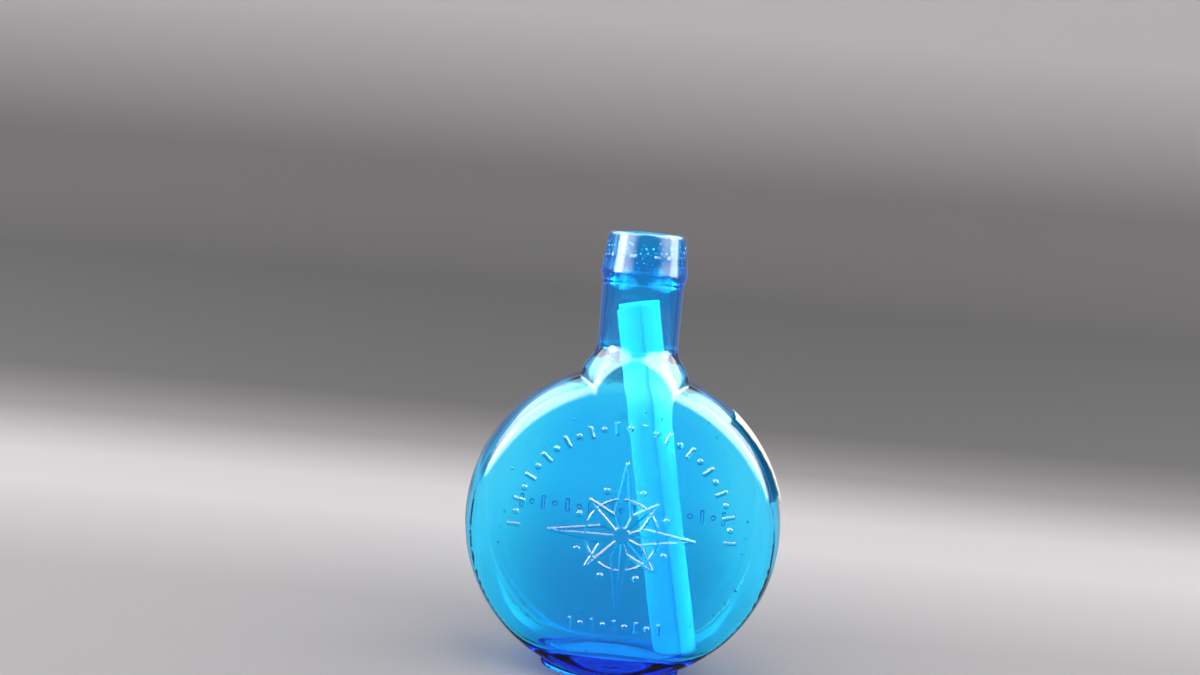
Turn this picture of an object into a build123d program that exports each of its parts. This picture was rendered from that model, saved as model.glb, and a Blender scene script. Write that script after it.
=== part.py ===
from build123d import *

import math
import os

# A pressed glass canteen flask with a rolled sheet of paper inside and a paper label on its rim.
# The flask stands on its foot at z = 0, its front looks along -Y and its mouth opens upward.
# Every length is in millimetres.

# Disc body
disc_radius = 49.8
disc_depth = 29.0
rim_corner = 6.5
rim_crown_rise = 2.0
base_cut = 1.5
wall = 3.0
base_thickness = 5.5

# Foot
foot_width = 44.4
foot_depth = 22.0
foot_rim = 3.0
foot_recess = 0.8

# Ball shoulder
shoulder_radius = 18.1
shoulder_sink = 8.5
shoulder_face_round = 4.0
shoulder_ledge = 1.9
root_fillet = 1.5

# Neck, collar and mouth
mouth_radius = 9.3
mouth_length = 18.0
mouth_round = 0.6
bore_relief = 0.3
neck_length = 22.2
collar_height = 15.2
collar_bead_height = 1.8
collar_bead_round = 0.5
collar_flare = 0.9
lip_draw_in = 0.7
lip_round = 1.4

# Raised work on the two faces
relief_height = 0.5
relief_root = 0.4
border_inset = 17.0
border_bar_length = 3.6
border_bar_width = 0.9
border_bead_radius = 0.75
border_sweep = 178.0
border_steps = 26
star_radius = 22.0
star_points = 8
star_line = 0.7
star_ring_line = 0.6
star_bead_radius = 0.9
star_hub_radius = 2.6
star_valley_share = 0.3
star_short_share = 0.66
star_ring_share = 0.5
row_drop = 28.5
row_pitch = 3.4
row_count = 9
back_row_pitch = 3.6
back_row_count = 19
back_row_bar_length = 4.4

# Rolled sheet of paper
sheet_thickness = 0.25
sheet_gap = 0.45
roll_half_turns = 5
roll_mouth_clearance = 2.2
roll_neck_clearance = 0.4
roll_seat_clearance = 0.3
roll_head = 7.0
roll_lean = 10.9
roll_seam_angle = -78.5

# Paper label on the right of the rim
label_thickness = 0.2
label_width = 19.0
label_back_gap = 0.15
label_middle_gap = 0.4
label_front_lift = 1.3
label_low_angle = 15.0
label_sweep = 35.5

# How far cuts run past the glass, and how near an edge lies to the height that picks it
overrun = 1.0

# Sizes that follow from the ones above
half_depth = disc_depth / 2
disc_height = disc_radius - base_cut
rim_depth = rim_corner + rim_crown_rise
face_radius = disc_radius - rim_depth
crown_radius = (rim_depth**2 + half_depth**2 - 2 * half_depth * rim_corner) / (2 * rim_crown_rise)
crown_angle = math.degrees(math.asin((half_depth - rim_corner) / (crown_radius - rim_corner)))
bore_radius = mouth_radius + bore_relief
neck_radius = bore_radius + wall
collar_radius = neck_radius + collar_flare
lip_radius = neck_radius - lip_draw_in
shoulder_height = disc_height + disc_radius - shoulder_sink
shoulder_half_depth = max(half_depth, neck_radius + shoulder_ledge)
shoulder_flat_radius = math.sqrt(
    (shoulder_radius - shoulder_face_round) ** 2 - (shoulder_half_depth - shoulder_face_round) ** 2
)
shoulder_angle = math.degrees(math.atan2(shoulder_half_depth - shoulder_face_round, shoulder_flat_radius))
root_height = shoulder_height + math.sqrt(shoulder_radius**2 - neck_radius**2)
collar_bottom = root_height + neck_length
lip_height = collar_bottom + collar_height
mouth_bottom = lip_height - mouth_length
cavity_radius = disc_radius - wall
bore_bottom = shoulder_height + math.sqrt((shoulder_radius - wall) ** 2 - bore_radius**2)
foot_top = disc_height - math.sqrt(disc_radius**2 - (foot_width / 2) ** 2) + overrun

# The roll went in through the mouth, leans on the neck's lower edge and stands on the cavity's floor
roll_radius = mouth_radius - roll_mouth_clearance
lean = math.radians(roll_lean)
pivot_height = bore_bottom + (
    bore_radius - roll_neck_clearance - roll_radius / math.cos(lean)
) / math.tan(lean)
pivot_rise = pivot_height - disc_height
seat_radius = cavity_radius - roll_seat_clearance
roll_reach = pivot_rise * math.cos(lean) + math.sqrt(
    seat_radius**2
    - roll_radius**2
    - 2 * pivot_rise * roll_radius * math.sin(lean)
    - (pivot_rise * math.sin(lean)) ** 2
)
roll_length = roll_reach + roll_head


def wheel(flat_radius, half, corner, crown_centre, crown, crown_sweep):
    """A body turned about the Y axis: two flat faces, a crowned rim and round corners between them."""
    outline = Curve() + [
        Line((0, -half), (flat_radius, -half)),
        CenterArc((flat_radius, corner - half), corner, -90, 90 - crown_sweep),
        CenterArc((crown_centre, 0), crown, -crown_sweep, 2 * crown_sweep),
        CenterArc((flat_radius, half - corner), corner, crown_sweep, 90 - crown_sweep),
        Line((flat_radius, half), (0, half)),
        Line((0, half), (0, -half)),
    ]
    return revolve(make_face(outline), Axis.Y)


def disc(inset):
    """The round body, drawn in everywhere by the inset."""
    half, corner = half_depth - inset, rim_corner - inset
    body = wheel(face_radius, half, corner, disc_radius - crown_radius, crown_radius - inset, crown_angle)
    return Pos(0, 0, disc_height) * body


def shoulder(inset):
    """The ball between neck and disc, cut flush with the two faces and softened where it is cut.
    Its seam points down into the disc, clear of the crease between the two."""
    half, corner = shoulder_half_depth - inset, shoulder_face_round - inset
    ball = wheel(shoulder_flat_radius, half, corner, 0, shoulder_radius - inset, shoulder_angle)
    return Pos(0, 0, shoulder_height) * Rot(0, 90, 0) * ball


def neck():
    """The neck and its collar, which tapers up from a bead to a rounded lip."""
    outline = FilletPolyline(
        (0, shoulder_height),
        (neck_radius, shoulder_height),
        (neck_radius, collar_bottom),
        (collar_radius, collar_bottom + collar_bead_height),
        (lip_radius, lip_height),
        (0, lip_height),
        radius=(0, collar_bead_round, collar_bead_round, lip_round),
    )
    closing = Line((0, lip_height), (0, shoulder_height))
    return revolve(Plane.XZ * make_face([outline, closing]), Axis.Z)


def upper_body():
    """Shoulder and neck in one, with a soft root where they meet."""
    column = shoulder(0) + neck()
    root = column.edges().filter_by_position(Axis.Z, root_height - overrun, root_height + overrun)
    return fillet(root.filter_by(GeomType.CIRCLE), root_fillet)


def foot():
    """The oval foot, whose underside is a rim round a shallow recess."""
    oval = Ellipse(foot_width / 2, foot_depth / 2)
    recess = Ellipse(foot_width / 2 - foot_rim, foot_depth / 2 - foot_rim)
    return extrude(oval, foot_top), extrude(recess, foot_recess)


def cavity():
    """The space inside: disc, shoulder, neck bore and the narrower mouth."""
    hollow = disc(wall) + shoulder(wall)
    hollow += Pos(0, 0, shoulder_height) * Cylinder(
        bore_radius, mouth_bottom - shoulder_height, align=(Align.CENTER, Align.CENTER, Align.MIN)
    )
    hollow += Pos(0, 0, mouth_bottom) * Cylinder(
        mouth_radius, mouth_length + overrun, align=(Align.CENTER, Align.CENTER, Align.MIN)
    )
    return split(hollow, Plane.XY.offset(base_thickness), Keep.TOP)


def on_face(sketch, front):
    """Raises a sketch from the front or the back face, rooted a little way in the glass."""
    outward = -1 if front else 1
    place = Plane(
        (0, outward * (half_depth - relief_root), disc_height), x_dir=(-outward, 0, 0), z_dir=(0, outward, 0)
    )
    return extrude(place * sketch, relief_root + relief_height)


def border():
    """Bars and beads in turn, round the upper half of the front face."""
    radius = disc_radius - border_inset
    step = border_sweep / border_steps
    marks = Sketch()
    for index in range(border_steps + 1):
        angle = 90 - border_sweep / 2 + index * step
        place = Rot(0, 0, angle) * Pos(radius, 0)
        if index % 2:
            marks += place * Circle(border_bead_radius)
        else:
            marks += place * Rectangle(border_bar_length, border_bar_width)
    return marks


def star():
    """A compass star: one half of each point raised, the other drawn in outline."""
    valley = star_radius * star_valley_share
    turn = 360 / star_points
    tips, valleys = [], []
    for index in range(star_points):
        reach = star_radius * (star_short_share if index % 2 else 1)
        tips.append(Vector(reach, 0).rotate(Axis.Z, index * turn))
        valleys.append(Vector(valley, 0).rotate(Axis.Z, (index + 0.5) * turn))
    outline = [point for pair in zip(tips, valleys) for point in pair]
    figure = Circle(star_hub_radius) + trace(Polyline(*outline, close=True), star_line)
    for tip, low in zip(tips, valleys):
        figure += make_face(Polyline((0, 0), tip, low, close=True))
    ring = star_radius * star_ring_share
    figure += Circle(ring + star_ring_line / 2) - Circle(ring - star_ring_line / 2)
    for index in range(star_points):
        place = Rot(0, 0, (index + 0.5) * turn) * Pos((star_radius + valley) / 2, 0)
        figure += place * Circle(star_bead_radius)
    return figure


def row(count, pitch, bar_length):
    """A straight row of upright bars with a bead between each two."""
    marks = Sketch()
    for index in range(count):
        place = Pos((index - (count - 1) / 2) * pitch, 0)
        if index % 2:
            marks += place * Circle(border_bead_radius)
        else:
            marks += place * Rectangle(border_bar_width, bar_length)
    return marks


def glass_bottle():
    """The whole flask in one piece of glass."""
    oval, recess = foot()
    body = disc(0) + upper_body() + oval
    body = split(body, Plane.XY, Keep.TOP)
    body -= recess
    body -= cavity()
    mouth = body.edges().filter_by(GeomType.CIRCLE).group_by(Axis.Z)[-1].sort_by(SortBy.RADIUS)[0]
    body = fillet(mouth, mouth_round)
    for marks in (border(), star(), Pos(0, -row_drop) * row(row_count, row_pitch, border_bar_length)):
        body += on_face(marks, front=True)
    return body + on_face(row(back_row_count, back_row_pitch, back_row_bar_length), front=False)


def paper_roll():
    """A sheet rolled up in half-turns, each a little tighter than the last, leaning in the flask."""
    step = (sheet_thickness + sheet_gap) / 2
    radius = roll_radius - sheet_thickness / 2
    side = Vector(1, 0).rotate(Axis.Z, roll_seam_angle)
    centre = Vector(0, 0)
    edges = [Line(centre + side * (radius - sheet_thickness / 2), centre + side * (radius + sheet_thickness / 2))]
    for index in range(roll_half_turns):
        start = roll_seam_angle + 180 * index
        edges.append(CenterArc(centre, radius + sheet_thickness / 2, start, 180))
        edges.append(CenterArc(centre, radius - sheet_thickness / 2, start, 180))
        side = side * -1
        last = centre
        centre += side * step
        radius -= step
    end = last + side * (radius + step)
    edges.append(Line(end - side * (sheet_thickness / 2), end + side * (sheet_thickness / 2)))
    sheet = extrude(Pos(0, 0, -roll_reach) * make_face(edges), roll_length)
    return Pos(0, 0, pivot_height) * Rot(0, -roll_lean, 0) * sheet


def rim_label():
    """A strip of label paper bent round the rim, stuck at its back edge and lifting at its front."""
    half = label_width / 2
    rim_at_edge = disc_radius - crown_radius + math.sqrt(crown_radius**2 - half**2)
    stuck = Vector(rim_at_edge + label_back_gap, half)
    middle = Vector(disc_radius + label_middle_gap, 0)
    lifted = Vector(rim_at_edge + label_front_lift, -half)
    out = Vector(label_thickness, 0)
    outline = Curve() + [
        ThreePointArc(stuck, middle, lifted),
        ThreePointArc(stuck + out, middle + out, lifted + out),
        Line(stuck, stuck + out),
        Line(lifted, lifted + out),
    ]
    strip = revolve(make_face(outline), Axis.Y, label_sweep)
    return Pos(0, 0, disc_height) * Rot(0, -(label_low_angle + label_sweep), 0) * strip


os.makedirs("parts", exist_ok=True)
pieces = {"glass_bottle": glass_bottle(), "paper_roll": paper_roll(), "rim_label": rim_label()}
for name, piece in pieces.items():
    export_step(piece, f"parts/{name}.step")
print("pivot height", round(pivot_height, 3), "roll length", round(roll_length, 2))
print("mouth", round(mouth_bottom, 3), "to", round(lip_height, 3), "overall lip height")
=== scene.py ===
"""Looks for a pressed blue glass canteen flask with a rolled paper inside and a paper label on its rim."""

import logging
import math
from dataclasses import dataclass, replace
from enum import Enum

import bpy
import numpy as np
from mathutils import Matrix, Vector


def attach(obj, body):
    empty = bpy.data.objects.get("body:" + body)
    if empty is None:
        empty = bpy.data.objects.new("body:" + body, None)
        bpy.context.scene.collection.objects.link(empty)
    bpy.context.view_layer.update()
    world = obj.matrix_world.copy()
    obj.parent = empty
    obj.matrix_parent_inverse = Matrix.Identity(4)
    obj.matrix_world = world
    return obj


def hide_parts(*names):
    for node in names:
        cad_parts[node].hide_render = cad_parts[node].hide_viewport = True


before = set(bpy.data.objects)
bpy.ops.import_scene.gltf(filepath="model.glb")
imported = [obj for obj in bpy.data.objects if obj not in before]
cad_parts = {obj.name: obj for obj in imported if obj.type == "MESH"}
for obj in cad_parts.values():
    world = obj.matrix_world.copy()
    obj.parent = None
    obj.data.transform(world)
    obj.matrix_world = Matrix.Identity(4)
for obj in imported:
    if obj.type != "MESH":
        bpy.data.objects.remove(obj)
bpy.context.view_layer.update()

# Sizes below are in millimetres unless a name says otherwise; meshes are in metres
MM = 0.001
# Between these two lie the usual values of a noise
NOISE_SPAN = (0.3, 0.7)

Array = np.ndarray
Socket = bpy.types.NodeSocket
Triple = tuple[float, float, float]

log = logging.getLogger("flask")


class Face(Enum):
    """The two flat faces of the flask; the value is the way along Y that each looks."""

    FRONT = -1
    BACK = 1


class Side(Enum):
    """The two sides of a sheet of paper; the value is its material slot's index."""

    OUTER = 0
    UNDER = 1


def smooth_union(first: Array, second: Array, reach: float) -> Array:
    """Joins two distance fields with a valley that is soft within a reach of the joint."""
    share = np.maximum(reach - np.abs(first - second), 0) / reach
    return np.minimum(first, second) - share * share * reach / 4


def smooth_cut(first: Array, second: Array, reach: float) -> Array:
    """Keeps what lies in both bodies, with an edge that is soft within a reach of it."""
    return -smooth_union(-first, -second, reach)


def round_cut(first: Array, second: Array, radius: float) -> Array:
    """Keeps what lies in both bodies, with an edge of a radius where they meet squarely."""
    corner = np.hypot(np.maximum(first + radius, 0), np.maximum(second + radius, 0))
    return np.minimum(np.maximum(first, second), -radius) + corner


def ease(share: Array) -> Array:
    """Holds a share from 0 to 1 and lets it start and end softly."""
    share = np.clip(share, 0, 1)
    return share * share * (3 - 2 * share)


def wave(points: Array, length: float, turn: float) -> Array:
    """A gentle unevenness in space that never repeats within the flask.

    Args:
        points: places, one row each.
        length: rough distance from crest to crest.
        turn: a phase that tells one unevenness from another.

    Returns:
        Values from about -1 to 1.
    """
    across, deep, high = (points * (2 * math.pi / length)).T
    bend = np.sin(0.61 * high + 0.37 * across + turn)
    total = np.sin(across + 1.3 * bend + turn)
    total += np.sin(0.83 * high - 1.1 * bend + 2.1 * turn)
    total += np.sin(0.57 * (across + high) + 0.9 * deep + 0.7 * turn)
    return total / 3


def segment_distance(point: Array, start: Array, end: Array) -> Array:
    """Distance in a plane from points to straight pieces.

    Args:
        point: points, one row each.
        start: where each piece starts.
        end: where each piece ends.

    Returns:
        One distance for each point.
    """
    run = end - start
    off = point - start
    share = np.clip((off * run).sum(1) / (run * run).sum(1), 0, 1)
    return np.linalg.norm(off - share[:, None] * run, axis=1)


def bar_distance(along: Array, across: Array, length: float, width: float) -> Array:
    """Distance in a plane to a bar with square ends, negative inside it.

    Args:
        along: place along the bar from its middle.
        across: place across it.
        length: the bar's full length.
        width: its full width.

    Returns:
        One distance for each point.
    """
    over = np.abs(along) - length / 2
    beside = np.abs(across) - width / 2
    outer = np.hypot(np.maximum(over, 0), np.maximum(beside, 0))
    return outer + np.minimum(np.maximum(over, beside), 0)


@dataclass(frozen=True)
class FlaskSizes:
    """Driving sizes of the glass, as the frame has them."""

    disc_radius: float = 49.8
    half_depth: float = 14.5
    rim_corner: float = 6.5
    crown_rise: float = 2.0
    base_cut: float = 1.5
    wall: float = 3.0
    floor: float = 5.5
    foot_half_width: float = 22.2
    foot_half_depth: float = 11.0
    foot_top: float = 6.0
    foot_rim: float = 3.0
    foot_recess: float = 0.8
    foot_round: float = 0.7
    ball_radius: float = 18.1
    ball_sink: float = 8.5
    ball_face_round: float = 4.0
    mouth_radius: float = 9.3
    mouth_length: float = 18.0
    mouth_round: float = 0.6
    bore_radius: float = 9.6
    neck_radius: float = 12.6
    neck_length: float = 22.2
    collar_height: float = 15.2
    bead_height: float = 1.8
    bead_round: float = 0.5
    collar_flare: float = 0.9
    lip_draw_in: float = 0.7
    lip_round: float = 1.4

    @property
    def disc_height(self) -> float:
        """Height of the disc's centre."""
        return self.disc_radius - self.base_cut

    @property
    def ball_height(self) -> float:
        """Height of the ball shoulder's centre."""
        return self.disc_height + self.disc_radius - self.ball_sink

    @property
    def root_height(self) -> float:
        """Height at which the neck leaves the ball."""
        return self.ball_height + math.sqrt(self.ball_radius**2 - self.neck_radius**2)

    @property
    def collar_bottom(self) -> float:
        """Height of the collar's lower edge."""
        return self.root_height + self.neck_length

    @property
    def lip_height(self) -> float:
        """Height of the lip, which is the flask's own."""
        return self.collar_bottom + self.collar_height

    @property
    def face_radius(self) -> float:
        """Radius of the flat part of each face."""
        return self.disc_radius - self.rim_corner - self.crown_rise

    @property
    def crown_radius(self) -> float:
        """Radius of the gentle arc across the rim."""
        depth = self.rim_corner + self.crown_rise
        return (depth**2 + self.half_depth**2 - 2 * self.half_depth * self.rim_corner) / (2 * self.crown_rise)

    @property
    def ball_flat_radius(self) -> float:
        """Radius of the flat that the faces cut on the ball."""
        inner = self.ball_radius - self.ball_face_round
        return math.sqrt(inner**2 - (self.half_depth - self.ball_face_round) ** 2)


@dataclass(frozen=True)
class Relief:
    """Raised work on the faces: a border of bars and beads, a compass star and two straight rows."""

    height: float = 0.5
    slope: float = 0.7
    bar_length: float = 3.6
    bar_width: float = 0.9
    bead_radius: float = 0.75
    border_radius: float = 32.8
    border_sweep: float = 178.0
    border_steps: int = 26
    star_radius: float = 22.0
    star_points: int = 8
    star_line: float = 0.7
    ring_line: float = 0.6
    star_bead_radius: float = 0.9
    hub_radius: float = 2.6
    valley_share: float = 0.3
    short_share: float = 0.66
    ring_share: float = 0.5
    row_drop: float = 28.5
    row_pitch: float = 3.4
    row_count: int = 9
    back_pitch: float = 3.6
    back_count: int = 19
    back_bar_length: float = 4.4

    def border(self, across: Array, up: Array) -> Array:
        """Distance to the bars and beads round the upper half of the face.

        Args:
            across: place to the right of the disc's centre.
            up: place above it.

        Returns:
            Distances in the face, negative on a mark.
        """
        step = self.border_sweep / self.border_steps
        first = 90 - self.border_sweep / 2
        angle = np.degrees(np.arctan2(up, across))
        index = np.clip(np.rint((angle - first) / step), 0, self.border_steps)
        turn = np.radians(angle - first - index * step)
        reach = np.hypot(across, up)
        outward = reach * np.cos(turn) - self.border_radius
        return self.mark(index, outward, reach * np.sin(turn), self.bar_length)

    def mark(self, index: Array, along: Array, beside: Array, length: float) -> Array:
        """Distance to a bar at an even place and to a bead at an odd one."""
        bar = bar_distance(along, beside, length, self.bar_width)
        return np.where(index % 2 == 0, bar, np.hypot(along, beside) - self.bead_radius)

    def row(self, across: Array, up: Array, count: int, pitch: float, length: float) -> Array:
        """Distance to a straight row of upright bars with beads between them.

        Args:
            across: place to the right of the row's middle.
            up: place above it.
            count: how many marks the row has.
            pitch: distance from mark to mark.
            length: length of its bars.

        Returns:
            Distances in the face, negative on a mark.
        """
        middle = (count - 1) / 2
        index = np.clip(np.rint(across / pitch + middle), 0, count - 1)
        return self.mark(index, up, across - (index - middle) * pitch, length)

    def facet(self, point: Array, tip: Array, low: Array) -> Array:
        """Distance to the raised half of a star point, a triangle with a corner at the hub.

        Args:
            point: points, one row each.
            tip: the star point's tip.
            low: the valley beside it.

        Returns:
            Distances in the face, negative inside the triangle.
        """
        corners = [np.zeros_like(point), tip, low]
        edge = np.full(len(point), np.inf)
        inside = np.ones(len(point), bool)
        for start, end in zip(corners, corners[1:] + corners[:1]):
            edge = np.minimum(edge, segment_distance(point, start, end))
            run, off = end - start, point - start
            inside &= run[:, 0] * off[:, 1] - run[:, 1] * off[:, 0] >= 0
        return np.where(inside, -edge, edge)

    def star(self, across: Array, up: Array) -> Array:
        """Distance to the compass star with its ring, beads and hub.

        Args:
            across: place to the right of the star's middle.
            up: place above it.

        Returns:
            Distances in the face, negative on a mark.
        """
        turn = 2 * math.pi / self.star_points
        reach = np.hypot(across, up)
        angle = np.arctan2(up, across) % (2 * math.pi)
        sector = np.floor(angle / turn)
        local = angle - sector * turn
        point = np.stack([reach * np.cos(local), reach * np.sin(local)], 1)
        long, short = self.star_radius, self.star_radius * self.short_share
        valley = self.star_radius * self.valley_share
        # From one star point to the next: tip, valley, tip and the valley beyond it
        even = sector[:, None] % 2 == 0
        lengths = np.where(even, [long, valley, short, valley], [short, valley, long, valley])
        ways = [np.array([math.cos(half * turn), math.sin(half * turn)]) for half in (0, 0.5, 1, 1.5)]
        near_tip, near_low, far_tip, far_low = (lengths[:, [i]] * way for i, way in enumerate(ways))
        bead = np.linalg.norm(point - (long + valley) / 2 * ways[1], axis=1)
        found = [
            segment_distance(point, near_tip, near_low) - self.star_line / 2,
            segment_distance(point, near_low, far_tip) - self.star_line / 2,
            self.facet(point, near_tip, near_low),
            self.facet(point, far_tip, far_low),
            np.abs(reach - self.star_radius * self.ring_share) - self.ring_line / 2,
            bead - self.star_bead_radius,
            reach - self.hub_radius,
        ]
        return np.minimum.reduce(found)

    def outline(self, face: Face, points: Array, centre: float) -> Array:
        """Distance to the marks of one face.

        Args:
            face: which face.
            points: places in space, one row each.
            centre: height of the disc's centre.

        Returns:
            Distances in the face, negative on a mark.
        """
        across, up = -face.value * points[:, 0], points[:, 2] - centre
        if face is Face.BACK:
            return self.row(across, up, self.back_count, self.back_pitch, self.back_bar_length)
        row = self.row(across, up + self.row_drop, self.row_count, self.row_pitch, self.bar_length)
        return np.minimum.reduce([self.border(across, up), self.star(across, up), row])

    def rise(self, face: Face, points: Array, centre: float) -> Array:
        """How far the marks of one face stand out of it, with soft slopes."""
        return self.height * ease(0.5 - self.outline(face, points, centre) / self.slope)


@dataclass(frozen=True)
class Grain:
    """The longest edge that the glass's mesh may have at each kind of place."""

    plain: float = 2.3
    collar: float = 1.1
    root: float = 1.0
    bead: float = 0.5
    lip: float = 0.6
    foot: float = 1.0
    crease: float = 0.45
    seam: float = 0.45
    relief: float = 0.36


@dataclass(frozen=True)
class FlaskField:
    """Signed distance to the glass: negative in it, positive in the air inside and outside."""

    sizes: FlaskSizes
    relief: Relief
    grains: Grain = Grain()
    crease: float = 0.6
    root_reach: float = 2.4
    foot_reach: float = 1.4
    inner_reach: float = 5.0
    floor_reach: float = 10.0
    bore_reach: float = 1.5
    mouth_run: float = 4.0
    heavy_wall: float = 1.5
    heavy_from: float = 62.0
    heavy_run: float = 45.0
    seam_width: float = 0.6
    seam_height: float = 0.1
    face_wave: float = 0.05
    face_length: float = 19.0
    inner_wave: float = 0.12
    inner_length: float = 23.0
    rim_thinning: float = 1.4
    thinning_run: float = 10.0
    side_from: float = 16.0
    side_run: float = 24.0

    def wheel(
        self, points: Array, axis: float, flat: float, corner: float, rim: float, crown: float
    ) -> Array:
        """Distance to a body turned about a line along Y, with flat faces, a crowned rim and round corners.

        Args:
            points: places, one row each.
            axis: height of the line.
            flat: radius of the flat faces.
            corner: radius of the corners.
            rim: the body's largest radius.
            crown: radius of the arc across the rim.

        Returns:
            Signed distances.
        """
        reach, deep = np.hypot(points[:, 0], points[:, 2] - axis), np.abs(points[:, 1])
        half, centre = self.sizes.half_depth - corner, rim - crown
        out, over = reach - flat, deep - half
        side = np.hypot(np.maximum(reach - centre, 0), deep) - (crown - corner)
        at_corner = (out > 0) & (over * (flat - centre) > out * half)
        return np.where(at_corner, np.hypot(out, over), np.maximum(over, side)) - corner

    def disc(self, points: Array) -> Array:
        """Distance to the round body, uncut and solid."""
        size, rim = self.sizes, self.sizes.disc_radius
        return self.wheel(points, size.disc_height, size.face_radius, size.rim_corner, rim, size.crown_radius)

    def ball(self, points: Array) -> Array:
        """Distance to the ball shoulder, cut flush with the faces."""
        size, rim = self.sizes, self.sizes.ball_radius
        return self.wheel(points, size.ball_height, size.ball_flat_radius, size.ball_face_round, rim, rim)

    def collar(self, reach: Array, high: Array) -> Array:
        """Distance to the collar, which flares to a bead and tapers to the lip.

        Args:
            reach: distance from the neck's axis.
            high: height.

        Returns:
            Signed distances.
        """
        size = self.sizes
        bead_radius = size.neck_radius + size.collar_flare
        bead_height = size.collar_bottom + size.bead_height
        rise = size.lip_height - bead_height
        draw = size.collar_flare + size.lip_draw_in
        taper = ((reach - bead_radius) * rise + (high - bead_height) * draw) / math.hypot(rise, draw)
        above = high - size.collar_bottom
        flare = (reach - size.neck_radius) * size.bead_height - above * size.collar_flare
        flare = flare / math.hypot(size.bead_height, size.collar_flare)
        side = round_cut(taper, flare, size.bead_round)
        return round_cut(side, high - size.lip_height, size.lip_round)

    def stand(self, body: Array, points: Array) -> Array:
        """Adds the oval foot, cuts everything off at the table and recesses the underside.

        Args:
            body: distances to what stands on the foot.
            points: places, one row each.

        Returns:
            Distances to the whole.
        """
        size = self.sizes
        wide, deep = points[:, 0] / size.foot_half_width, points[:, 1] / size.foot_half_depth
        level = np.hypot(wide, deep)
        slope = np.hypot(wide / size.foot_half_width, deep / size.foot_half_depth)
        scale = np.full(len(points), size.foot_half_depth)
        np.divide(level, slope, out=scale, where=slope > 1e-9)
        side, high = (level - 1) * scale, points[:, 2]
        foot = np.maximum(round_cut(side, -high, size.foot_round), high - size.foot_top)
        body = np.maximum(smooth_union(body, foot, self.foot_reach), -high)
        recess = round_cut(side + size.foot_rim, high - size.foot_recess, size.foot_recess / 2)
        return round_cut(body, -recess, size.foot_recess / 2)

    def outside(self, points: Array) -> Array:
        """Distance to the flask as if it were solid, with seam, relief and unevenness.

        Args:
            points: places, one row each.

        Returns:
            Signed distances.
        """
        size = self.sizes
        high = points[:, 2]
        reach = np.hypot(points[:, 0], points[:, 1])
        body = smooth_union(self.disc(points), self.ball(points), self.crease)
        neck = np.maximum(reach - size.neck_radius, size.ball_height - high)
        neck = np.maximum(neck, high - size.collar_bottom - size.collar_height / 2)
        body = smooth_union(body, neck, self.root_reach)
        body = smooth_union(body, self.collar(reach, high), self.crease)
        body = self.stand(body, points)
        lift = self.seam_height * np.exp(-((points[:, 1] / self.seam_width) ** 2))
        lift *= np.clip((high - size.foot_top) / size.foot_top, 0, 1)
        lift *= np.clip((size.lip_height - size.lip_round - high) / size.lip_round, 0, 1)
        on_face = np.abs(points[:, 1]) > size.half_depth - size.rim_corner / 2
        for face in Face:
            here = on_face & (points[:, 1] * face.value > 0)
            lift[here] = self.relief.rise(face, points[here], size.disc_height)
        steady = np.clip(high / size.foot_top - 1, 0, 1)
        return body - lift - self.face_wave * steady * wave(points, self.face_length, 0.4)

    def hollow(self, points: Array) -> Array:
        """Distance to the space inside: body, shoulder, bore and mouth.

        Args:
            points: places, one row each.

        Returns:
            Signed distances.
        """
        size = self.sizes
        high = points[:, 2]
        body = smooth_union(self.disc(points), self.ball(points), self.inner_reach) + size.wall
        out = np.hypot(points[:, 0], high - size.disc_height) - size.face_radius
        aside = np.hypot(points[:, 0], (high - size.disc_height) / 2)
        kept = 1 - ease(0.5 + out / self.thinning_run)
        kept *= 1 - ease((aside - self.side_from) / self.side_run)
        thinned = self.rim_thinning * (1 - kept)
        body = body - thinned + self.inner_wave * (1 + wave(points, self.inner_length, 1.9)) / 2
        thick = size.wall + self.heavy_wall * ease((self.heavy_from - high) / self.heavy_run) - thinned
        body = smooth_cut(body, np.abs(points[:, 1]) - (size.half_depth - thick), self.bore_reach)
        body = smooth_cut(body, size.floor - high, self.floor_reach)
        step = ease((high - size.lip_height + size.mouth_length) / self.mouth_run)
        radius = size.bore_radius + (size.mouth_radius - size.bore_radius) * step
        bore = np.maximum(np.hypot(points[:, 0], points[:, 1]) - radius, size.ball_height - high)
        return smooth_union(body, bore, self.bore_reach)

    def __call__(self, points: Array) -> Array:
        """Distance to the glass."""
        return round_cut(self.outside(points), -self.hollow(points), self.sizes.mouth_round)

    def slope(self, points: Array, step: float = 0.02) -> Array:
        """The field's gradient by central differences.

        Args:
            points: places, one row each.
            step: half the distance between the two samples of a difference.

        Returns:
            One row for each point.
        """
        shifts = step * np.eye(3)
        found = [(self(points + shift) - self(points - shift)) / (2 * step) for shift in shifts]
        return np.stack(found, 1)

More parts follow.
